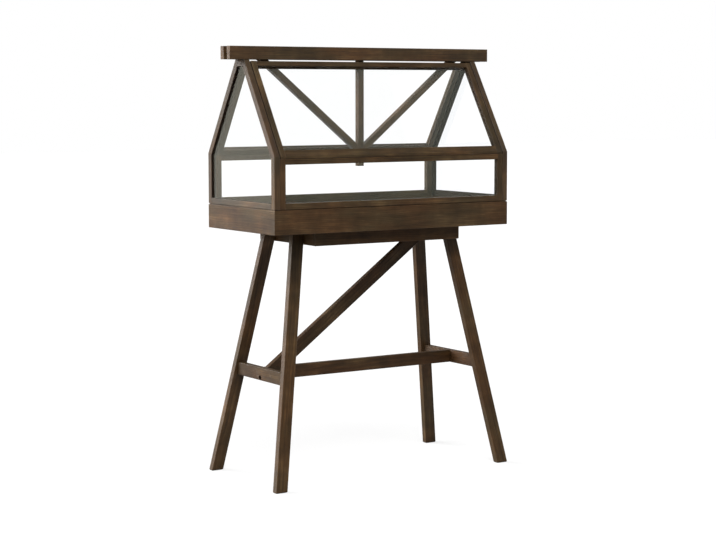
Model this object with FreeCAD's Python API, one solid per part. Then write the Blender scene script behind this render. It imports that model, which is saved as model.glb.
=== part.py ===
import FreeCAD, Part
import math
import os

# Wooden mini greenhouse on a splayed four-leg stand, in millimetres.
# +X runs along the ridge, +Y to the back, +Z up. The origin is on the floor under the middle.

# Overall levels
ridge_top_z = 1400.0
ridge_board_h = 42.0
box_bottom_z = 812.0
box_h = 77.0
window_h = 159.5
eave_rise = 7.7

# Footprint of the box and the house above it
house_len = 905.5
house_depth = 428.5

# Stand
leg_w = 42.0
leg_t = 22.0
foot_inset_x = 17.15
foot_inset_y = 4.25
leg_top_out_x = 14.6
leg_top_in_y = 91.0
foot_chamfer = 3.0
rail_h = 42.0
rail_t = 20.0
apron_h = 43.5
apron_inset_x = 172.75
apron_inset_y = 38.25
stretcher_z = 325.4
brace_foot = 77.0
brace_heel = 1.6
tenon_len = 12.0
tenon_shoulder = 6.0
stretcher_tenon_len = 8.0

# Box and tray
box_board_t = 20.0
floor_t = 10.0
floor_rebate = 10.0
tray_wall = 1.5
tray_h = 62.0
tray_gap = 2.5
tray_hem = 7.0
tray_corner = 4.0

# House frames
gable_t = 20.0
gable_member_w = 21.0
base_h = 21.0
frame_t = 20.0
window_stile_w = 21.0
window_top_h = 18.0
ridge_slit = 4.5
sash_top_h = 18.0
sash_stile_w = 20.0
sash_low_rise = 20.0
sash_side_gap = 2.5
sash_rest_gap = 0.5
apex_block_h = 21.3
frame_tenon_edge = 5.0
gable_tenon_len = 10.0
sash_tenon_len = 6.0
sash_top_tenon_edge = 2.5
sash_low_tenon_h = 12.0

# Ridge and truss
ridge_overhang = 51.75
ridge_board_t = 19.6
ridge_lip = 2.2
truss_t = 20.8
king_drop = 37.5
truss_top_drop = 12.0
strut_foot_rise = 9.7
strut_top_inset = 61.75

# Glazing
glass_t = 3.0
glass_in = 4.5
groove_gap = 0.2
gable_glass_recess = 5.4
frame_glass_recess = 8.5

# Fasteners and fits
dowel_d = 8.0
dowel_len = 28.0
dowel_edge = 9.0
dowel_pitch = 15.0
locating_inset_y = 94.25
locating_proud = 12.0
pin_d = 5.0
pin_len = 29.0
pin_cover = 3.0
pin_from_top = 12.0
pin_depth = 10.0
bolt_d = 6.0
bolt_len = 50.0
bolt_head_d = 12.0
bolt_head_h = 5.0
bolt_socket_d = 4.0
bolt_socket_h = 3.0
bolt_sink = 10.0
bolt_rise = 9.0
running_gap = 0.05
hole_gap = 0.3
joint_gap = 0.2
ease = 1.0
shadow_gap_h = 3.0
shadow_gap_d = 3.0

os.makedirs("parts", exist_ok=True)

V = FreeCAD.Vector
box_top_z = box_bottom_z + box_h
house_x = house_len / 2
house_y = house_depth / 2
window_top_z = box_top_z + window_h
knee_z = window_top_z + eave_rise
ridge_bottom_z = ridge_top_z - ridge_board_h
gable_in_x = house_x - gable_t
ridge_in_y = truss_t / 2
ridge_out_y = ridge_in_y + ridge_board_t
roof_angle = math.atan2(ridge_bottom_z - knee_z, house_y - ridge_out_y + ridge_lip)
roof_out = (math.sin(roof_angle), math.cos(roof_angle))
roof_down = (math.cos(roof_angle), -math.sin(roof_angle))
roof_c = roof_out[0] * house_y + roof_out[1] * knee_z


def save(name, shape):
    shape.exportStep("parts/" + name + ".step")


def block(x0, x1, y0, y1, z0, z1):
    return Part.makeBox(x1 - x0, y1 - y0, z1 - z0, V(x0, y0, z0))


def prism(points, vector):
    wire = Part.makePolygon([V(*p) for p in points] + [V(*points[0])])
    return Part.Face(wire).extrude(V(*vector))


def prism_x(yz, x0, x1):
    return prism([(x0, y, z) for y, z in yz], (x1 - x0, 0, 0))


def prism_y(xz, y0, y1):
    return prism([(x, y0, z) for x, z in xz], (0, y1 - y0, 0))


def rod(start, direction, diameter, length):
    return Part.makeCylinder(diameter / 2, length, V(*start), V(*direction))


def mirror_x(shape):
    return shape.mirror(V(0, 0, 0), V(1, 0, 0))


def mirror_y(shape):
    return shape.mirror(V(0, 0, 0), V(0, 1, 0))


def eased(shape, size, along, keep=None):
    """Chamfers the straight edges parallel to one direction, or those that keep picks."""
    axis = V(*along)
    axis.normalize()
    edges = []
    for edge in shape.Edges:
        if len(edge.Vertexes) < 2:
            continue
        run = edge.Vertexes[1].Point.sub(edge.Vertexes[0].Point)
        if run.Length < 4 * size or abs(run.dot(axis)) / run.Length < 0.9999:
            continue
        if keep is None or keep(edge.CenterOfMass):
            edges.append(edge)
    return shape.makeChamfer(size, edges) if edges else shape


def roof_y(z, depth=0.0):
    """Distance from the middle plane of the roof surface sunk by depth, at height z."""
    return (roof_c - depth - roof_out[1] * z) / roof_out[0]


def roof_z(y, depth=0.0):
    return (roof_c - depth - roof_out[0] * y) / roof_out[1]


# Legs, cut level at floor and box and flattened where they meet the apron
apron_x = house_x - apron_inset_x
apron_y = house_y - apron_inset_y
apron_z = box_bottom_z - apron_h
foot_x = house_x - foot_inset_x
foot_y = house_y - foot_inset_y
leg_dx = apron_x + leg_top_out_x - foot_x
leg_dy = apron_y - leg_top_in_y - foot_y
dowel_levels = (box_bottom_z - dowel_edge - dowel_pitch, box_bottom_z - dowel_edge)


def leg_at(z):
    """Centre of the leg at height z, for the leg on the +X and +Y side."""
    share = z / box_bottom_z
    return foot_x + leg_dx * share, foot_y + leg_dy * share


def leg_solid():
    x0, x1 = foot_x - leg_w / 2, foot_x + leg_w / 2
    y0, y1 = foot_y - leg_t / 2, foot_y + leg_t / 2
    ring = [(x0, y0, 0), (x1, y0, 0), (x1, y1, 0), (x0, y1, 0)]
    leg = prism(ring, (leg_dx, leg_dy, box_bottom_z))
    leg = leg.makeChamfer(foot_chamfer, [e for e in leg.Edges if e.BoundBox.ZMax < 0.01])
    leg = eased(leg, ease, (leg_dx, leg_dy, box_bottom_z))
    return leg.cut(block(0, apron_x, 0, house_y, apron_z - apron_h, box_bottom_z + 1))


def end_stretcher_solid(extra=0.0):
    """End stretcher between the back and front legs, with a tenon at each end."""
    z0, z1 = stretcher_z, stretcher_z + rail_h
    a, b = leg_at(z0)[1] - leg_t / 2, leg_at(z1)[1] - leg_t / 2
    body = prism_x([(-a, z0), (a, z0), (b, z1), (-b, z1)], stretcher_in_x, stretcher_out_x)
    body = eased(body, ease, (0, 1, 0))
    s = tenon_shoulder - extra
    tenon = block(stretcher_in_x + s, stretcher_out_x - s, -b, a + stretcher_tenon_len + extra,
                  z0 + s, z1 - s)
    return body, tenon


stretcher_mid_x = leg_at(stretcher_z + rail_h / 2)[0]
stretcher_out_x = stretcher_mid_x + rail_t / 2
stretcher_in_x = stretcher_mid_x - rail_t / 2
leg = leg_solid()
stretcher, tenon = end_stretcher_solid()
mortise = end_stretcher_solid(joint_gap)[1]
leg = leg.cut(mortise)
dowel_holes = []
dowels = []
for level in dowel_levels:
    y = leg_at(level)[1]
    start = (apron_x - dowel_len / 2, y, level)
    dowels.append(rod(start, (1, 0, 0), dowel_d, dowel_len))
    wide = (start[0] - joint_gap, y, level)
    dowel_holes.append(rod(wide, (1, 0, 0), dowel_d + 2 * running_gap, dowel_len + 2 * joint_gap))
leg = leg.cut(Part.Compound(dowel_holes))
save("leg_back_right", leg)
save("leg_back_left", mirror_x(leg))
save("leg_front_right", mirror_y(leg))
save("leg_front_left", mirror_y(mirror_x(leg)))

# End stretchers, each with a sunk hole for the bolt that holds the long stretcher
full_tenon = tenon.fuse(mirror_y(tenon))
end_stretcher = stretcher.fuse(full_tenon).removeSplitter()
bolt_z = stretcher_z + bolt_rise
sink = rod((stretcher_out_x + 1, 0, bolt_z), (-1, 0, 0), bolt_head_d + 2 * hole_gap, bolt_sink + 1)
bore = rod((stretcher_out_x, 0, bolt_z), (-1, 0, 0), bolt_d + 2 * running_gap,
           bolt_sink + bolt_len + hole_gap)
end_stretcher = end_stretcher.cut(sink).cut(bore)
save("end_stretcher_right", end_stretcher)
save("end_stretcher_left", mirror_x(end_stretcher))

# Long stretcher on the middle plane
long_top_z = stretcher_z + rail_h
long_stretcher = block(-stretcher_in_x, stretcher_in_x, -rail_t / 2, rail_t / 2, stretcher_z, long_top_z)
long_stretcher = eased(long_stretcher, ease, (1, 0, 0)).cut(bore).cut(mirror_x(bore))
save("long_stretcher", long_stretcher)

# Bolts through the end stretchers
head_x = stretcher_out_x - bolt_sink + bolt_head_h
bolt = rod((head_x, 0, bolt_z), (-1, 0, 0), bolt_head_d, bolt_head_h)
shank = rod((head_x - bolt_head_h, 0, bolt_z), (-1, 0, 0), bolt_d, bolt_len)
socket = rod((head_x + 1, 0, bolt_z), (-1, 0, 0), bolt_socket_d, bolt_socket_h + 1)
bolt = bolt.fuse(shank).cut(socket)
save("stretcher_bolts", Part.Compound([bolt, mirror_x(bolt)]))

# Apron under the box
apron_in_y = apron_y - rail_t
front_rail = block(-apron_x, apron_x, -apron_y, -apron_in_y, apron_z, box_bottom_z)
front_rail = eased(front_rail, ease, (1, 0, 0), lambda c: c.z < apron_z + 1)
end_rail = block(apron_x - rail_t, apron_x, -apron_in_y, apron_in_y, apron_z, box_bottom_z)
end_rail = eased(end_rail, ease, (0, 1, 0), lambda c: c.z < apron_z + 1)
rail_tenon = block(apron_x - rail_t + tenon_shoulder, apron_x - tenon_shoulder,
                   -apron_in_y - tenon_len, -apron_in_y + 1,
                   apron_z + tenon_shoulder, box_bottom_z - tenon_shoulder)
rail_mortise = block(apron_x - rail_t + tenon_shoulder - joint_gap, apron_x - tenon_shoulder + joint_gap,
                     -apron_in_y - tenon_len - joint_gap, -apron_in_y + 1,
                     apron_z + tenon_shoulder - joint_gap, box_bottom_z - tenon_shoulder + joint_gap)
end_rail = end_rail.fuse(rail_tenon).fuse(mirror_y(rail_tenon)).removeSplitter()
end_rail = end_rail.cut(Part.Compound(dowel_holes)).cut(mirror_y(Part.Compound(dowel_holes)))
front_rail = front_rail.cut(rail_mortise).cut(mirror_x(rail_mortise))
save("apron_front_rail", front_rail)
save("apron_back_rail", mirror_y(front_rail))
save("apron_right_rail", end_rail)
save("apron_left_rail", mirror_x(end_rail))

# Diagonal brace from the foot of the left stretcher up to the right end of the apron
brace_x = apron_x - rail_t
heel_z = apron_z - brace_heel
brace_slope = (heel_z - long_top_z) / (brace_x + stretcher_in_x - brace_foot)
brace_drop = rail_h * math.sqrt(1 + brace_slope ** 2)


def brace_x_at(z, lift):
    return brace_x + (z - lift - heel_z) / brace_slope


brace_points = [
    (brace_x_at(long_top_z, 0.0), long_top_z),
    (brace_x, heel_z),
    (brace_x, box_bottom_z),
    (brace_x_at(box_bottom_z, brace_drop), box_bottom_z),
    (brace_x_at(long_top_z, brace_drop), long_top_z),
]
brace = prism_y(brace_points, -rail_t / 2, rail_t / 2)
brace = eased(brace, ease, (1, 0, brace_slope))
save("diagonal_brace", brace)

# Box boards, mitred at the corners and rebated for the floor panel
box_in_x = house_x - box_board_t
box_in_y = house_y - box_board_t


def mitred(x0, x1, y_in, y_out, slant):
    """Board on the +Y side between mitres."""
    points = [(x0 - slant, y_out), (x1 + slant, y_out), (x1, y_in), (x0, y_in)]
    return prism([(x, y, box_bottom_z) for x, y in points], (0, 0, box_h))


back_board = mitred(-box_in_x, box_in_x, box_in_y, house_y, box_board_t)
end_board = prism([(house_x, -house_y, box_bottom_z), (house_x, house_y, box_bottom_z),
                   (box_in_x, box_in_y, box_bottom_z), (box_in_x, -box_in_y, box_bottom_z)],
                  (0, 0, box_h))
back_board = eased(back_board, ease, (1, 0, 0), lambda c: c.y > house_y - 1)
end_board = eased(end_board, ease, (0, 1, 0), lambda c: c.x > house_x - 1)
rebate = block(-box_in_x - floor_rebate, box_in_x + floor_rebate,
               -box_in_y - floor_rebate, box_in_y + floor_rebate,
               box_bottom_z - 1, box_bottom_z + floor_t)
locating_x = (gable_in_x + house_x - shadow_gap_d) / 2
locating_y = house_y - locating_inset_y
locating_z = box_top_z - dowel_len + locating_proud
for side in (-1, 1):
    start = (locating_x, side * locating_y, locating_z)
    dowels.append(rod(start, (0, 0, 1), dowel_d, dowel_len))
    lower = (start[0], start[1], locating_z - joint_gap)
    end_board = end_board.cut(rod(lower, (0, 0, 1), dowel_d + 2 * running_gap, dowel_len))
back_board = back_board.cut(rebate)
end_board = end_board.cut(rebate)
save("box_board_back", back_board)
save("box_board_front", mirror_y(back_board))
save("box_board_right", end_board)
save("box_board_left", mirror_x(end_board))
panel = block(-box_in_x - floor_rebate + joint_gap, box_in_x + floor_rebate - joint_gap,
              -box_in_y - floor_rebate + joint_gap, box_in_y + floor_rebate - joint_gap,
              box_bottom_z, box_bottom_z + floor_t)
save("box_floor_panel", panel)

# Wooden dowels: two in each leg and two in each end board to locate the house
leg_dowels = dowels[:2] + [mirror_y(d) for d in dowels[:2]]
right_dowels = leg_dowels + dowels[2:]
save("dowels", Part.Compound(right_dowels + [mirror_x(d) for d in right_dowels]))

# Metal tray with a folded hem
tray_x = box_in_x - tray_gap
tray_y = box_in_y - tray_gap
tray_z0 = box_bottom_z + floor_t
tray_z1 = tray_z0 + tray_h
tray = block(-tray_x, tray_x, -tray_y, tray_y, tray_z0, tray_z1)
tray = eased(tray, tray_corner, (0, 0, 1))
hollow = block(-tray_x + tray_wall, tray_x - tray_wall, -tray_y + tray_wall, tray_y - tray_wall,
               tray_z0 + tray_wall, tray_z1 - tray_wall)
mouth = block(-tray_x + tray_hem, tray_x - tray_hem, -tray_y + tray_hem, tray_y - tray_hem,
              tray_z1 - tray_wall - 1, tray_z1 + 1)
tray = tray.cut(eased(hollow, tray_corner - tray_wall / 2, (0, 0, 1))).cut(mouth)
save("planting_tray", tray)

# Gable frame on the +X side: posts, rafters, apex block and base rail around one pane
post_in_y = house_y - gable_member_w
knee_in_z = roof_z(post_in_y, gable_member_w)
base_top_z = box_top_z + base_h
apex_z = ridge_bottom_z - apex_block_h
pane_x1 = house_x - gable_glass_recess
pane_x0 = pane_x1 - glass_t


def gable_opening(grow):
    """Outline of the gable opening, grown outwards by a margin."""
    depth = gable_member_w - grow
    y = post_in_y + grow
    low = base_top_z - grow
    high = apex_z + grow
    return [(-y, low), (y, low), (y, roof_z(y, depth)), (roof_y(high, depth), high),
            (-roof_y(high, depth), high), (-y, roof_z(y, depth))]


def shadow_gap(shape):
    """Cuts the shallow step that runs round the foot of the house."""
    z0, z1 = box_top_z - 1, box_top_z + shadow_gap_h
    inner_x, inner_y = house_x - shadow_gap_d, house_y - shadow_gap_d
    ring = block(-house_x - 1, house_x + 1, -house_y - 1, house_y + 1, z0, z1)
    return shape.cut(ring.cut(block(-inner_x, inner_x, -inner_y, inner_y, z0 - 1, z1 + 1)))


def gable_bar(yz, along):
    bar = prism_x(yz, gable_in_x, house_x)
    return eased(bar, ease, along)


gable_groove = prism_x(gable_opening(glass_in + joint_gap), pane_x0 - groove_gap, pane_x1 + groove_gap)
gable_pane = prism_x(gable_opening(glass_in), pane_x0, pane_x1)
post = gable_bar([(post_in_y, box_top_z), (house_y, box_top_z), (house_y, knee_z), (post_in_y, knee_in_z)],
                 (0, 0, 1))
rafter_up = (0, -roof_down[0], -roof_down[1])
rafter = gable_bar([(house_y, knee_z), (roof_y(ridge_bottom_z), ridge_bottom_z),
                    (roof_y(ridge_bottom_z, gable_member_w), ridge_bottom_z), (post_in_y, knee_in_z)],
                   rafter_up)
apex_block = prism_x([(roof_y(apex_z, gable_member_w), apex_z),
                      (roof_y(ridge_bottom_z, gable_member_w), ridge_bottom_z),
                      (-roof_y(ridge_bottom_z, gable_member_w), ridge_bottom_z),
                      (-roof_y(apex_z, gable_member_w), apex_z)], gable_in_x, house_x)
base_rail = block(gable_in_x, house_x, -post_in_y, post_in_y, box_top_z, base_top_z)
base_rail = eased(base_rail, ease, (0, 1, 0), lambda c: c.z > base_top_z - 1)


def base_tenon(extra):
    edge = frame_tenon_edge - extra
    return block(gable_in_x + edge, house_x - edge, post_in_y - 1, post_in_y + gable_tenon_len + extra,
                 box_top_z + edge, base_top_z - edge)


base_rail = base_rail.fuse(base_tenon(0.0)).fuse(mirror_y(base_tenon(0.0))).removeSplitter()
base_rail = shadow_gap(base_rail)
post = shadow_gap(post.cut(base_tenon(joint_gap)))
for side in (-1, 1):
    start = (locating_x, side * locating_y, box_top_z - 1)
    base_rail = base_rail.cut(rod(start, (0, 0, 1), dowel_d + 2 * hole_gap, locating_proud + 1.5))

# Pivot pins of the roof sashes, fixed in the rafters
sash_top_z = ridge_bottom_z - ridge_slit
sash_top_y = roof_y(sash_top_z)
pin_y = sash_top_y + roof_down[0] * pin_from_top - roof_out[0] * pin_depth
pin_z = sash_top_z + roof_down[1] * pin_from_top - roof_out[1] * pin_depth
pin_x1 = house_x - pin_cover
pin_x0 = pin_x1 - pin_len
pin = rod((pin_x0, pin_y, pin_z), (1, 0, 0), pin_d, pin_len)
pin_hole = rod((pin_x0 - 1, pin_y, pin_z), (1, 0, 0), pin_d + 2 * running_gap, pin_len + 1 + joint_gap)
rafter = rafter.cut(pin_hole)
pins = [pin, mirror_y(pin)]
save("sash_pivot_pins", Part.Compound(pins + [mirror_x(p) for p in pins]))

gable = {
    "post_back": post.cut(gable_groove),
    "post_front": mirror_y(post).cut(gable_groove),
    "rafter_back": rafter.cut(gable_groove),
    "rafter_front": mirror_y(rafter).cut(gable_groove),
    "apex_block": apex_block.cut(gable_groove),
    "base_rail": base_rail.cut(gable_groove),
    "pane": gable_pane,
}
for key, shape in gable.items():
    save("gable_right_" + key, shape)
    save("gable_left_" + key, mirror_x(shape))

# Lower window on the +Y side: two stiles, two rails and a pane
win_in_y = house_y - frame_t
win_open_x = gable_in_x - window_stile_w
win_low_z = base_top_z
win_high_z = window_top_z - window_top_h
frame_pane_y1 = house_y - frame_glass_recess
frame_pane_y0 = frame_pane_y1 - glass_t


def window_tenon(z_low, z_high, extra):
    """Tenon of a rail of the lower window between two heights, grown by a gap."""
    edge = frame_tenon_edge - extra
    return block(win_open_x - 1, win_open_x + tenon_len + extra,
                 win_in_y + tenon_shoulder - extra, house_y - tenon_shoulder + extra,
                 z_low + edge, z_high - edge)


win_groove = block(-win_open_x - glass_in - joint_gap, win_open_x + glass_in + joint_gap,
                   frame_pane_y0 - groove_gap, frame_pane_y1 + groove_gap,
                   win_low_z - glass_in - joint_gap, win_high_z + glass_in + joint_gap)
win_pane = block(-win_open_x - glass_in, win_open_x + glass_in, frame_pane_y0, frame_pane_y1,
                 win_low_z - glass_in, win_high_z + glass_in)
win_stile = eased(block(win_open_x, gable_in_x, win_in_y, house_y, box_top_z, window_top_z), ease, (0, 0, 1))
low_tenon = window_tenon(box_top_z, win_low_z, 0.0)
high_tenon = window_tenon(win_high_z, window_top_z, 0.0)
for z_pair in ((box_top_z, win_low_z), (win_high_z, window_top_z)):
    win_stile = win_stile.cut(window_tenon(z_pair[0], z_pair[1], joint_gap))
win_stile = shadow_gap(win_stile.cut(win_groove))
win_low_rail = block(-win_open_x, win_open_x, win_in_y, house_y, box_top_z, win_low_z)
win_low_rail = eased(win_low_rail, ease, (1, 0, 0), lambda c: c.z > win_low_z - 1)
win_top_rail = eased(block(-win_open_x, win_open_x, win_in_y, house_y, win_high_z, window_top_z),
                     ease, (1, 0, 0))
win_low_rail = win_low_rail.cut(win_groove).fuse(low_tenon).fuse(mirror_x(low_tenon)).removeSplitter()
win_low_rail = shadow_gap(win_low_rail)
win_top_rail = win_top_rail.cut(win_groove).fuse(high_tenon).fuse(mirror_x(high_tenon)).removeSplitter()
window = {
    "stile_right": win_stile,
    "stile_left": mirror_x(win_stile),
    "low_rail": win_low_rail,
    "top_rail": win_top_rail,
    "pane": win_pane,
}
for key, shape in window.items():
    save("window_back_" + key, shape)
    save("window_front_" + key, mirror_y(shape))

# Roof sash on the +Y side, drawn in the plane of the roof slope
sash_x = gable_in_x - sash_side_gap
sash_open_x = sash_x - sash_stile_w
sash_low_z = window_top_z + sash_rest_gap
slope_of = 1.0 / roof_out[0]


def down_slope(z):
    """Distance down the slope from the top edge of the sash to height z on the outer face."""
    return (sash_top_z - z) * slope_of


def slope_point(distance, depth):
    return (sash_top_y + roof_down[0] * distance - roof_out[0] * depth,
            sash_top_z + roof_down[1] * distance - roof_out[1] * depth)


def slope_band(s0, s1, d0, d1, x0, x1):
    """Slab of the sash between two distances down the slope and two depths."""
    yz = [slope_point(s0, d0), slope_point(s1, d0), slope_point(s1, d1), slope_point(s0, d1)]
    return prism_x(yz, x0, x1)


sash_lower = down_slope(knee_z + sash_low_rise)
sash_end = down_slope(knee_z)
sash_outline = [slope_point(0, 0), (house_y, knee_z), (house_y, sash_low_z),
                (roof_y(sash_low_z, frame_t), sash_low_z), slope_point(0, frame_t)]
sash_slab = prism_x(sash_outline, -sash_x, sash_x)
past = 2 * frame_t
side_cut = slope_band(-past, sash_end + past, -past, past, sash_open_x, sash_x + past)
high_part = slope_band(-past, sash_top_h, -past, past, -sash_open_x, sash_open_x)
low_part = slope_band(sash_lower, sash_end + past, -past, past, -sash_open_x, sash_open_x)
sash_groove = slope_band(sash_top_h - glass_in - joint_gap, sash_lower + glass_in + joint_gap,
                         frame_glass_recess - groove_gap, frame_glass_recess + glass_t + groove_gap,
                         -sash_open_x - glass_in - joint_gap, sash_open_x + glass_in + joint_gap)
sash_pane = slope_band(sash_top_h - glass_in, sash_lower + glass_in,
                       frame_glass_recess, frame_glass_recess + glass_t,
                       -sash_open_x - glass_in, sash_open_x + glass_in)


def sash_tenon(s0, s1, extra):
    return slope_band(s0 - extra, s1 + extra, tenon_shoulder - extra, frame_t - tenon_shoulder + extra,
                      sash_open_x - 1, sash_open_x + sash_tenon_len + extra)


top_span = (sash_top_tenon_edge, sash_top_h - tenon_shoulder)
low_span = (sash_lower + tenon_shoulder, sash_lower + tenon_shoulder + sash_low_tenon_h)
slope_dir = (0, roof_down[0], roof_down[1])
sash_stile = eased(sash_slab.common(side_cut), ease, slope_dir)
for span in (top_span, low_span):
    sash_stile = sash_stile.cut(sash_tenon(span[0], span[1], joint_gap))
sash_stile = sash_stile.cut(sash_groove).cut(pin_hole)
sash_top_rail = eased(sash_slab.common(high_part), ease, (1, 0, 0)).cut(sash_groove)
sash_low_rail = eased(sash_slab.common(low_part), ease, (1, 0, 0)).cut(sash_groove)
for side in (1, -1):
    for span, target in ((top_span, "top"), (low_span, "low")):
        piece = sash_tenon(span[0], span[1], 0.0)
        piece = piece if side == 1 else mirror_x(piece)
        if target == "top":
            sash_top_rail = sash_top_rail.fuse(piece)
        else:
            sash_low_rail = sash_low_rail.fuse(piece)
sash = {
    "stile_right": sash_stile,
    "stile_left": mirror_x(sash_stile),
    "top_rail": sash_top_rail.removeSplitter(),
    "low_rail": sash_low_rail.removeSplitter(),
    "pane": sash_pane,
}
for key, shape in sash.items():
    save("roof_sash_back_" + key, shape)
    save("roof_sash_front_" + key, mirror_y(shape))

# Ridge boards with the truss clamped between them
ridge_x = house_x + ridge_overhang
truss_top_z = ridge_top_z - truss_top_drop
king_bottom_z = window_top_z - king_drop
strut_node_z = window_top_z + strut_foot_rise
strut_slope = (ridge_bottom_z - strut_node_z) / (gable_in_x - strut_top_inset)
ridge_board = block(-ridge_x, ridge_x, ridge_in_y, ridge_out_y, ridge_bottom_z, ridge_top_z)
ridge_board = eased(ridge_board, ease, (1, 0, 0))
save("ridge_board_back", ridge_board)
save("ridge_board_front", mirror_y(ridge_board))
king_post = block(-truss_t / 2, truss_t / 2, -truss_t / 2, truss_t / 2, king_bottom_z, truss_top_z)
save("king_post", eased(king_post, ease, (0, 0, 1)))
strut_half = truss_t / 2 * math.sqrt(1 + strut_slope ** 2)


def strut_x(z, lift):
    return (z - strut_node_z - lift) / strut_slope


king_x = truss_t / 2
strut = prism_y([(king_x, strut_node_z + strut_slope * king_x - strut_half),
                 (strut_x(truss_top_z, -strut_half), truss_top_z),
                 (strut_x(truss_top_z, strut_half), truss_top_z),
                 (king_x, strut_node_z + strut_slope * king_x + strut_half)],
                -truss_t / 2, truss_t / 2)
strut = eased(strut, ease, (1, 0, strut_slope))
save("truss_strut_right", strut)
save("truss_strut_left", mirror_x(strut))
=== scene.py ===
import math

import bmesh
import bpy
from mathutils import Matrix, Vector

# Looks of a dark-stained wooden mini greenhouse with a steel planting tray.
# Metres, in the frame of the model.

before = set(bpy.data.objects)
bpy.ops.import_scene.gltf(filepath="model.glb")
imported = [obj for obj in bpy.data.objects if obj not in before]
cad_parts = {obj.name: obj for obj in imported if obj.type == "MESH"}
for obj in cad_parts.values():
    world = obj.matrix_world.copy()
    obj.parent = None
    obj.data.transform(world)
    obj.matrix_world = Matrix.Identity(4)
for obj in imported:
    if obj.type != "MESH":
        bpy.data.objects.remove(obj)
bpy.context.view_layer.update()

# Camera, as fitted to the photograph
CAMERA_PLACE = (-3.2788, -5.0318, 1.2536)
CAMERA_YAW = 33.039
CAMERA_PITCH = -5.610
CAMERA_ROLL = -0.051
CAMERA_LENS = 90.90
SENSOR_WIDTH = 36.0

# Light levels
BACKDROP_WHITE = 1.0
PANE_LOSS = 0.05
AMBIENT = 0.04
FLOOR_SIZE = 60.0
FLOOR_GLOW_SHARE = 0.7
FLOOR_SEEN = 0.9
FLOOR_BOUNCE = 0.38
ROOM_GLOSS = 0.3
LAMP_DISTANCE = 8.0
# Lamps: name, azimuth clockwise from the back, elevation, strength and spread
LAMPS = (
    ("sheen_light", -33.0, 20.0, 3.0, 28.0),
    ("side_light", -70.0, 20.0, 3.4, 40.0),
    ("front_light", -155.0, 48.0, 2.9, 50.0),
    ("fill_light", 80.0, 6.0, 1.4, 40.0),
)


def srgb(red, green, blue):
    """Colour for a shader from 0-255 screen values."""
    def linear(value):
        value /= 255.0
        return value / 12.92 if value <= 0.04045 else ((value + 0.055) / 1.055) ** 2.4
    return (linear(red), linear(green), linear(blue), 1.0)


class Nodes:
    """Adds and links shader nodes in one tree."""

    def __init__(self, tree):
        self.tree = tree

    def add(self, kind, inputs=None, **settings):
        node = self.tree.nodes.new(kind)
        for key, value in settings.items():
            setattr(node, key, value)
        for key, value in (inputs or {}).items():
            if isinstance(value, bpy.types.NodeSocket):
                self.tree.links.new(value, node.inputs[key])
            else:
                node.inputs[key].default_value = value
        return node

    def math(self, operation, first, second=0.0, clamp=False):
        node = self.add("ShaderNodeMath", {0: first, 1: second}, operation=operation, use_clamp=clamp)
        return node.outputs[0]

    def scaled(self, vector, scale):
        node = self.add("ShaderNodeVectorMath", {0: vector, 1: scale}, operation="MULTIPLY")
        return node.outputs[0]

    def noise(self, vector, scale, detail=2.0, roughness=0.5):
        stretched = self.scaled(vector, scale)
        node = self.add("ShaderNodeTexNoise",
                        {"Vector": stretched, "Scale": 1.0, "Detail": detail, "Roughness": roughness})
        return node.outputs[0]

    def remap(self, value, low, high, new_low=0.0, new_high=1.0):
        node = self.add("ShaderNodeMapRange", {0: value, 1: low, 2: high, 3: new_low, 4: new_high})
        return node.outputs[0]

    def ramp(self, value, stops):
        node = self.add("ShaderNodeValToRGB", {0: value})
        elements = node.color_ramp.elements
        for index, (place, colour) in enumerate(stops):
            element = elements[index] if index < 2 else elements.new(place)
            element.position = place
            element.color = colour
        return node.outputs[0]

    def mix_colour(self, share, first, second, blend="MIX"):
        node = self.add("ShaderNodeMix", {0: share, 6: first, 7: second},
                        data_type="RGBA", blend_type=blend)
        return node.outputs[2]


def new_material(name):
    material = bpy.data.materials.new(name)
    material.use_nodes = True
    material.node_tree.nodes.clear()
    nodes = Nodes(material.node_tree)
    output = nodes.add("ShaderNodeOutputMaterial")
    return material, nodes, output


# Figure of the wood: a solid pattern whose X axis runs along the grain
PITH_OFFSET = (0.0, 0.085, 0.05)
RINGS_PER_METRE = 170.0
RING_SHARPNESS = 2.2
RING_MEAN = 0.3
RING_WEIGHT = 0.16
BEND_SCALE = (1.6, 7.0, 7.0)
BEND_REACH = (0.0, 0.035, 0.035)
FIBRE_SCALE = (9.0, 620.0, 620.0)
FIBRE_WEIGHT = 0.55
PORE_SCALE = (38.0, 1100.0, 1100.0)
PORE_LIMITS = (0.60, 0.70)
# Coarser layers of the figure: scale, detail, roughness and weight of streak, dash, mottle and band
FIGURE_LAYERS = (
    ((1.4, 60.0, 60.0), 4.0, 0.6, 0.5),
    ((14.0, 150.0, 150.0), 2.0, 0.5, 0.35),
    ((7.0, 16.0, 16.0), 3.0, 0.55, 0.9),
    ((26.0, 5.0, 5.0), 2.0, 0.6, 0.35),
)


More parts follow.
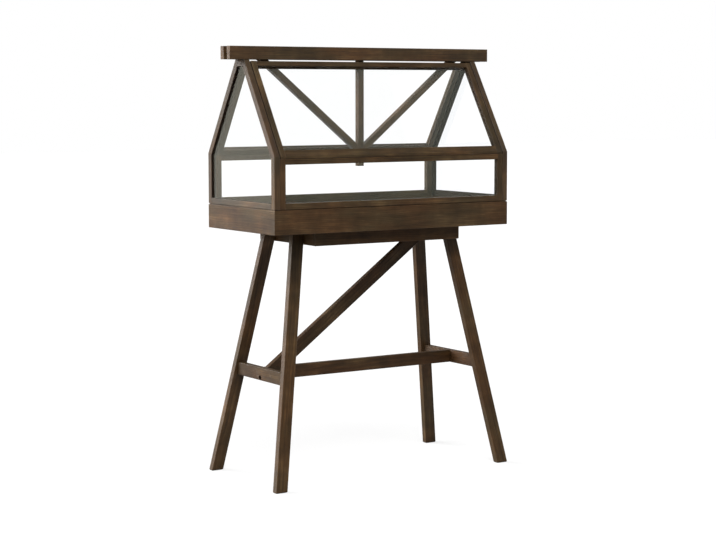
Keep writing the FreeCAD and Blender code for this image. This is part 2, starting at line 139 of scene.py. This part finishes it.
def wood_figure_group():
    """Node group that turns a place in the stick into tone, pores and relief."""
    group = bpy.data.node_groups.new("wood_figure", "ShaderNodeTree")
    group.interface.new_socket("Place", in_out="INPUT", socket_type="NodeSocketVector")
    for name in ("Tone", "Pores", "Relief"):
        group.interface.new_socket(name, in_out="OUTPUT", socket_type="NodeSocketFloat")
    nodes = Nodes(group)
    place = nodes.add("NodeGroupInput").outputs[0]
    bend = nodes.add("ShaderNodeTexNoise",
                     {"Vector": nodes.scaled(place, BEND_SCALE), "Scale": 1.0, "Detail": 2.0})
    shift = nodes.add("ShaderNodeVectorMath", {0: bend.outputs["Color"], 1: (0.5, 0.5, 0.5)},
                      operation="SUBTRACT")
    shift = nodes.scaled(shift.outputs[0], BEND_REACH)
    bent = nodes.add("ShaderNodeVectorMath", {0: place, 1: shift}, operation="ADD").outputs[0]
    from_pith = nodes.add("ShaderNodeVectorMath", {0: bent, 1: PITH_OFFSET}, operation="ADD").outputs[0]
    across = nodes.scaled(from_pith, (0.0, 1.0, 1.0))
    radius = nodes.add("ShaderNodeVectorMath", {0: across}, operation="LENGTH").outputs["Value"]
    phase = nodes.math("MULTIPLY", radius, RINGS_PER_METRE)
    rings = nodes.math("POWER", nodes.math("FRACT", phase), RING_SHARPNESS)
    fibre = nodes.noise(bent, FIBRE_SCALE, 3.0, 0.6)
    tone = nodes.math("MULTIPLY", nodes.math("SUBTRACT", fibre, 0.5), FIBRE_WEIGHT)
    for scale, detail, roughness, weight in FIGURE_LAYERS:
        layer = nodes.noise(bent, scale, detail, roughness)
        tone = nodes.math("ADD", tone, nodes.math("MULTIPLY", nodes.math("SUBTRACT", layer, 0.5), weight))
    ring_tone = nodes.math("MULTIPLY", nodes.math("SUBTRACT", rings, RING_MEAN), RING_WEIGHT)
    tone = nodes.math("ADD", nodes.math("SUBTRACT", tone, ring_tone), 0.5, clamp=True)
    pores = nodes.remap(nodes.noise(bent, PORE_SCALE, 2.0, 0.6), *PORE_LIMITS)
    relief = nodes.math("SUBTRACT", nodes.math("MULTIPLY", fibre, 0.5), pores)
    nodes.add("NodeGroupOutput", {"Tone": tone, "Pores": pores, "Relief": relief})
    return group


WOOD_FIGURE = wood_figure_group()
WOOD_TONES = (
    (0.05, srgb(33, 21, 11)),
    (0.38, srgb(62, 44, 26)),
    (0.62, srgb(79, 57, 36)),
    (0.95, srgb(114, 86, 57)),
)
RUDDY_STAIN = (1.07, 0.96, 0.90, 1.0)
OLIVE_STAIN = (0.93, 1.02, 1.06, 1.0)
PORE_COLOUR = srgb(30, 20, 13)
# colour of the lighter edges, partly wear and partly a painted highlight
WORN_AND_HIGHLIGHT_COLOUR = srgb(132, 112, 90)
EDGE_RADIUS = 0.0011
EDGE_WEAR_AND_HIGHLIGHT = 0.14
WOOD_BUMP = 0.00025
PORE_SHARE = 0.55
PORE_ROUGHNESS = 0.2


def longest_edge(node):
    """Direction of the longest sharp edge of a node, which is where its grain runs."""
    mesh = bmesh.new()
    mesh.from_mesh(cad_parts[node].data)
    bmesh.ops.remove_doubles(mesh, verts=mesh.verts, dist=1e-5)
    best = Vector((1, 0, 0))
    length = 0.0
    for edge in mesh.edges:
        if len(edge.link_faces) == 2 and edge.calc_face_angle() > 0.2 and edge.calc_length() > length:
            length = edge.calc_length()
            best = (edge.verts[1].co - edge.verts[0].co).normalized()
    mesh.free()
    return best


# Stain of each group of pieces, first match of the name: gloss and tint. The tints also carry painted
# light: darker on the pieces under the box, as painted shade, and lighter on the king post and struts
# behind the glass, as painted light.
STAINS_AND_PAINTED_SHADING = (
    ("gable", 0.35, (0.85, 0.90, 0.80)),
    ("roof_sash", 0.2, (0.85, 0.95, 0.95)),
    ("window", 0.2, (0.95, 1.05, 1.05)),
    ("ridge_board", 0.3, (1.0, 1.05, 1.0)),
    # lighter tint as painted light on the pieces behind the glass
    ("king_post", 0.2, (1.1, 1.15, 1.1)),
    ("truss_strut", 0.2, (1.1, 1.15, 1.1)),
    # darker tint as painted shade on the pieces under the box
    ("apron", 0.15, (0.75, 0.75, 0.65)),
    ("long_stretcher", 0.2, (0.7, 0.7, 0.65)),
    ("end_stretcher", 0.2, (0.7, 0.7, 0.65)),
    ("diagonal_brace", 0.2, (0.7, 0.7, 0.65)),
    ("leg", 0.2, (0.9, 0.95, 0.9)),
    ("", 0.2, (0.95, 1.0, 0.95)),
)


def stain_and_shading_of(node):
    return next(stain[1:] for stain in STAINS_AND_PAINTED_SHADING if node.startswith(stain[0]))


# Outline of the gable and the places painted dark as shade: the glazing rebates, the seams beside the roof
# sashes and the sunk bolt holes get painted shade in their colour.
HOUSE_X = 0.45275
HOUSE_Y = 0.21425
BOX_TOP_Z = 0.889
KNEE_Z = 1.0562
ROOF_RISE = 0.3018
ROOF_RUN = 0.18605
GABLE_IN_X = 0.43275
SASH_X = 0.43025
REBATE_DEPTH = 0.0195
BOLT_Z = 0.3344
BOLT_HOLE_RADIUS = 0.0070
FACE_MARGIN = 0.0003
OUTER_FACE_MARGIN = 0.0009
# colour of the painted shade
PAINTED_SHADE_COLOUR = srgb(30, 17, 4)


def inset_of(nodes, height, sideways):
    """Distance of a place from the outline of the gable, inwards."""
    slope = math.hypot(ROOF_RISE, ROOF_RUN)
    across, up = ROOF_RISE / slope, ROOF_RUN / slope
    roof = nodes.math("ADD", nodes.math("MULTIPLY", sideways, across), nodes.math("MULTIPLY", height, up))
    roof = nodes.math("SUBTRACT", across * HOUSE_Y + up * KNEE_Z, roof)
    wall = nodes.math("SUBTRACT", HOUSE_Y, sideways)
    foot = nodes.math("SUBTRACT", height, BOX_TOP_Z)
    return nodes.math("MINIMUM", nodes.math("MINIMUM", roof, wall), foot)


def painted_shade_places(nodes, place, node):
    """1 where shade is painted on a node: glazing rebates, seams beside the sashes and bolt holes; or
    None.
    """
    axes = nodes.add("ShaderNodeSeparateXYZ", {0: place}).outputs
    out = nodes.math("ABSOLUTE", axes[0])
    sideways = nodes.math("ABSOLUTE", axes[1])
    if node.startswith("gable"):
        # painted shade deep in the glazing rebates and on the inner faces beside the sash seams
        deep = nodes.math("GREATER_THAN", inset_of(nodes, axes[2], sideways), REBATE_DEPTH)
        sunk = nodes.math("LESS_THAN", out, HOUSE_X - OUTER_FACE_MARGIN)
        inner = nodes.math("LESS_THAN", out, GABLE_IN_X + FACE_MARGIN)
        return nodes.math("MAXIMUM", nodes.math("MULTIPLY", deep, sunk), inner)
    if node.startswith("roof_sash") and "stile" in node:
        # painted shade on the outer sides of the sash stiles, in the seams
        return nodes.math("GREATER_THAN", out, SASH_X - FACE_MARGIN)
    if node.startswith("end_stretcher"):
        # painted shade in the sunk bolt holes
        rise = nodes.math("SUBTRACT", axes[2], BOLT_Z)
        reach = nodes.math("SQRT", nodes.math("ADD", nodes.math("MULTIPLY", rise, rise),
                                              nodes.math("MULTIPLY", sideways, sideways)))
        return nodes.math("LESS_THAN", reach, BOLT_HOLE_RADIUS)
    return None


def wood(node, along, seed, sheen, tint):
    """Dark-stained, satin-finished wood whose grain runs along a direction."""
    material, nodes, output = new_material("wood_" + node)
    turn = Vector(along).rotation_difference(Vector((1, 0, 0))).to_euler()
    place = nodes.add("ShaderNodeTexCoord").outputs["Object"]
    offset = (3.1 * seed, 1.7 * seed % 5.0, 2.3 * seed % 7.0)
    mapped = nodes.add("ShaderNodeMapping", {"Vector": place, "Rotation": turn, "Location": offset},
                       vector_type="POINT").outputs[0]
    figure = nodes.add("ShaderNodeGroup", {"Place": mapped}, node_tree=WOOD_FIGURE)
    bare = nodes.ramp(figure.outputs["Tone"], WOOD_TONES)
    hue = nodes.remap(nodes.noise(mapped, (5.0, 13.0, 13.0), 2.0), 0.38, 0.62)
    bare = nodes.mix_colour(1.0, bare, nodes.mix_colour(hue, RUDDY_STAIN, OLIVE_STAIN), "MULTIPLY")
    geometry = nodes.add("ShaderNodeNewGeometry")
    colour = nodes.scaled(bare, tint)
    pore_share = nodes.math("MULTIPLY", figure.outputs["Pores"], PORE_SHARE)
    colour = nodes.mix_colour(pore_share, colour, PORE_COLOUR)
    round_normal = nodes.add("ShaderNodeBevel", {"Radius": EDGE_RADIUS}, samples=6).outputs[0]
    flat = nodes.add("ShaderNodeVectorMath", {0: round_normal, 1: geometry.outputs["Normal"]},
                     operation="DOT_PRODUCT")
    edge = nodes.remap(flat.outputs["Value"], 0.998, 0.93)
    # edges lightened, partly as wear and partly as a painted highlight
    wear_and_highlight = nodes.remap(nodes.noise(place, (28.0, 28.0, 28.0), 3.0), 0.35, 0.65, 0.0, EDGE_WEAR_AND_HIGHLIGHT)
    colour = nodes.mix_colour(nodes.math("MULTIPLY", edge, wear_and_highlight), colour, WORN_AND_HIGHLIGHT_COLOUR)
    # painted shade in rebates, seams and bolt holes
    dark = painted_shade_places(nodes, place, node)
    if dark:
        colour = nodes.mix_colour(dark, colour, PAINTED_SHADE_COLOUR)
    roughness = nodes.remap(figure.outputs["Tone"], 0.2, 0.8, 0.50, 0.38)
    pore_roughness = nodes.math("MULTIPLY", figure.outputs["Pores"], PORE_ROUGHNESS)
    roughness = nodes.math("ADD", roughness, pore_roughness)
    # the painted shade is made fully rough
    if dark:
        roughness = nodes.math("MAXIMUM", roughness, dark)
    bump = nodes.add("ShaderNodeBump", {"Height": figure.outputs["Relief"], "Distance": WOOD_BUMP,
                                        "Strength": 0.6, "Normal": round_normal})
    shader = nodes.add("ShaderNodeBsdfPrincipled",
                       {"Base Color": colour, "Roughness": roughness, "Normal": bump.outputs[0],
                        "Specular IOR Level": sheen})
    nodes.tree.links.new(shader.outputs[0], output.inputs["Surface"])
    return material


GLASS_TINT = (0.994, 1.0, 0.996, 1.0)
GABLE_MIRROR_TINT = (0.90, 0.84, 0.36, 1.0)
WINDOW_MIRROR_TINT = (0.92, 1.0, 0.80, 1.0)
GLASS_SHADE = (0.80, 0.80, 0.80, 1.0)


def glass(name, index, mirror_tint):
    """Thin float glass with a faint green tint that lets the lamps through."""
    material, nodes, output = new_material(name)
    place = nodes.add("ShaderNodeTexCoord").outputs["Object"]
    wave = nodes.noise(place, (3.0, 3.0, 3.0), 2.0)
    film = nodes.noise(place, (40.0, 40.0, 40.0), 4.0, 0.7)
    bump = nodes.add("ShaderNodeBump", {"Height": wave, "Distance": 0.0006, "Strength": 0.3})
    roughness = nodes.remap(film, 0.66, 0.85, 0.0, 0.03)
    shader = nodes.add("ShaderNodeBsdfPrincipled",
                       {"Base Color": GLASS_TINT, "Roughness": roughness, "Normal": bump.outputs[0],
                        "Transmission Weight": 1.0, "IOR": index, "Specular Tint": mirror_tint})
    path = nodes.add("ShaderNodeLightPath")
    passing = nodes.math("MAXIMUM", path.outputs["Is Shadow Ray"], path.outputs["Is Diffuse Ray"])
    clear = nodes.add("ShaderNodeBsdfTransparent", {"Color": GLASS_SHADE})
    mix = nodes.add("ShaderNodeMixShader", {0: passing, 1: shader.outputs[0], 2: clear.outputs[0]})
    nodes.tree.links.new(mix.outputs[0], output.inputs["Surface"])
    return material


def tray_metal():
    """Powder-coated steel: fine orange peel, faint cloudy patches of tone and gloss."""
    material, nodes, output = new_material("tray_coating")
    place = nodes.add("ShaderNodeTexCoord").outputs["Object"]
    peel = nodes.noise(place, (500.0, 500.0, 500.0), 2.0)
    cloud = nodes.noise(place, (14.0, 14.0, 14.0), 4.0, 0.6)
    colour = nodes.ramp(cloud, ((0.3, srgb(44, 50, 44)), (0.7, srgb(62, 68, 60))))
    roughness = nodes.remap(cloud, 0.3, 0.7, 0.34, 0.5)
    bump = nodes.add("ShaderNodeBump", {"Height": peel, "Distance": 0.00003, "Strength": 0.2})
    shader = nodes.add("ShaderNodeBsdfPrincipled",
                       {"Base Color": colour, "Roughness": roughness, "Normal": bump.outputs[0]})
    nodes.tree.links.new(shader.outputs[0], output.inputs["Surface"])
    return material


def steel(name, dark, light):
    """Plated steel with a fine grain, from a dark to a light tone."""
    material, nodes, output = new_material(name)
    place = nodes.add("ShaderNodeTexCoord").outputs["Object"]
    spangle = nodes.add("ShaderNodeTexVoronoi", {"Vector": place, "Scale": 260.0}).outputs["Distance"]
    colour = nodes.ramp(spangle, ((0.1, dark), (0.8, light)))
    roughness = nodes.remap(nodes.noise(place, (700.0, 700.0, 700.0), 3.0), 0.3, 0.7, 0.28, 0.46)
    shader = nodes.add("ShaderNodeBsdfPrincipled",
                       {"Base Color": colour, "Roughness": roughness, "Metallic": 1.0})
    nodes.tree.links.new(shader.outputs[0], output.inputs["Surface"])
    return material


def dress(node, material):
    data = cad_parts[node].data
    data.materials.clear()
    data.materials.append(material)


GABLE_GLASS = glass("gable_glass", 1.37, GABLE_MIRROR_TINT)
WINDOW_GLASS = glass("window_glass", 1.32, WINDOW_MIRROR_TINT)
TRAY = tray_metal()
PIN_STEEL = steel("zinc_steel", srgb(150, 150, 148), srgb(188, 188, 186))
BOLT_STEEL = steel("black_steel", srgb(30, 29, 28), srgb(52, 50, 48))
for index, node in enumerate(sorted(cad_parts)):
    if node.endswith("pane"):
        dress(node, GABLE_GLASS if node.startswith("gable") else WINDOW_GLASS)
    elif node == "planting_tray":
        dress(node, TRAY)
    elif node == "sash_pivot_pins":
        dress(node, PIN_STEEL)
    elif node == "stretcher_bolts":
        dress(node, BOLT_STEEL)
    else:
        dress(node, wood(node, longest_edge(node), index + 1, *stain_and_shading_of(node)))


def sight_of(nodes):
    """Light path node, and 1 for rays that see a picture: straight, through glass or in a clear mirror."""
    path = nodes.add("ShaderNodeLightPath")
    mirrored = nodes.math("MULTIPLY", path.outputs["Is Glossy Ray"], path.outputs["Is Singular Ray"])
    sight = nodes.math("MAXIMUM", path.outputs["Is Camera Ray"], path.outputs["Is Transmission Ray"])
    return path, nodes.math("MAXIMUM", sight, mirrored)


def make_floor():
    mesh = bpy.data.meshes.new("floor")
    half = FLOOR_SIZE / 2
    corners = [(-half, -half, 0), (half, -half, 0), (half, half, 0), (-half, half, 0)]
    mesh.from_pydata(corners, [], [(0, 1, 2, 3)])
    floor = bpy.data.objects.new("studio_floor", mesh)
    bpy.context.scene.collection.objects.link(floor)
    material, nodes, output = new_material("studio_floor")
    sight = sight_of(nodes)[1]
    grey = nodes.remap(sight, 0.0, 1.0, FLOOR_BOUNCE, FLOOR_SEEN)
    lit = nodes.add("ShaderNodeBsdfDiffuse", {"Color": grey})
    white = nodes.add("ShaderNodeEmission", {"Color": (1, 1, 1, 1), "Strength": BACKDROP_WHITE})
    share = nodes.math("MULTIPLY", sight, FLOOR_GLOW_SHARE)
    surface = nodes.add("ShaderNodeMixShader", {0: share, 1: lit.outputs[0], 2: white.outputs[0]})
    nodes.tree.links.new(surface.outputs[0], output.inputs["Surface"])
    mesh.materials.append(material)


def make_world():
    world = bpy.data.worlds.new("studio")
    bpy.context.scene.world = world
    world.use_nodes = True
    world.node_tree.nodes.clear()
    nodes = Nodes(world.node_tree)
    path, sight = sight_of(nodes)
    unseen = nodes.remap(path.outputs["Is Glossy Ray"], 0.0, 1.0, AMBIENT, ROOM_GLOSS)
    white = nodes.math("MULTIPLY", path.outputs["Is Transmission Ray"], PANE_LOSS)
    white = nodes.math("ADD", white, BACKDROP_WHITE)
    strength = nodes.add("ShaderNodeMix", {0: sight, 2: unseen, 3: white}).outputs[0]
    background = nodes.add("ShaderNodeBackground", {"Color": (1, 1, 1, 1), "Strength": strength})
    output = nodes.add("ShaderNodeOutputWorld")
    world.node_tree.links.new(background.outputs[0], output.inputs["Surface"])


def all_but_panes():
    """Collection that keeps the mirror images of the lamps out of the glass."""
    lit = bpy.data.collections.new("all_but_panes")
    for node in sorted(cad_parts):
        if node.endswith("pane"):
            lit.objects.link(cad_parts[node])
    for member in lit.collection_objects:
        member.light_linking.link_state = "EXCLUDE"
    return lit


ALL_BUT_PANES = all_but_panes()


def sun(name, azimuth, elevation, strength, spread):
    """Soft lamp whose light comes from an azimuth, clockwise from the back, and an elevation."""
    lamp = bpy.data.lights.new(name, "SUN")
    lamp.energy = strength
    lamp.angle = math.radians(spread)
    holder = bpy.data.objects.new(name, lamp)
    bpy.context.scene.collection.objects.link(holder)
    a, e = math.radians(azimuth), math.radians(elevation)
    source = Vector((math.sin(a) * math.cos(e), math.cos(a) * math.cos(e), math.sin(e)))
    holder.rotation_mode = "QUATERNION"
    holder.rotation_quaternion = source.to_track_quat("Z", "Y")
    holder.location = source * LAMP_DISTANCE
    holder.light_linking.receiver_collection = ALL_BUT_PANES


make_floor()
make_world()
for lamp_row in LAMPS:
    sun(*lamp_row)


def make_camera():
    yaw, pitch, roll = (math.radians(v) for v in (CAMERA_YAW, CAMERA_PITCH, CAMERA_ROLL))
    ahead = Vector((math.sin(yaw) * math.cos(pitch), math.cos(yaw) * math.cos(pitch), math.sin(pitch)))
    level = Vector((math.cos(yaw), -math.sin(yaw), 0.0))
    above = level.cross(ahead)
    right = level * math.cos(roll) + above * math.sin(roll)
    up = above * math.cos(roll) - level * math.sin(roll)
    data = bpy.data.cameras.new("camera")
    data.lens = CAMERA_LENS
    data.sensor_width = SENSOR_WIDTH
    data.clip_end = 200.0
    camera = bpy.data.objects.new("camera", data)
    bpy.context.scene.collection.objects.link(camera)
    turn = Matrix((right, up, -ahead)).transposed()
    camera.matrix_world = Matrix.Translation(CAMERA_PLACE) @ turn.to_4x4()
    bpy.context.scene.camera = camera


make_camera()
bpy.context.scene.view_settings.view_transform = "Standard"
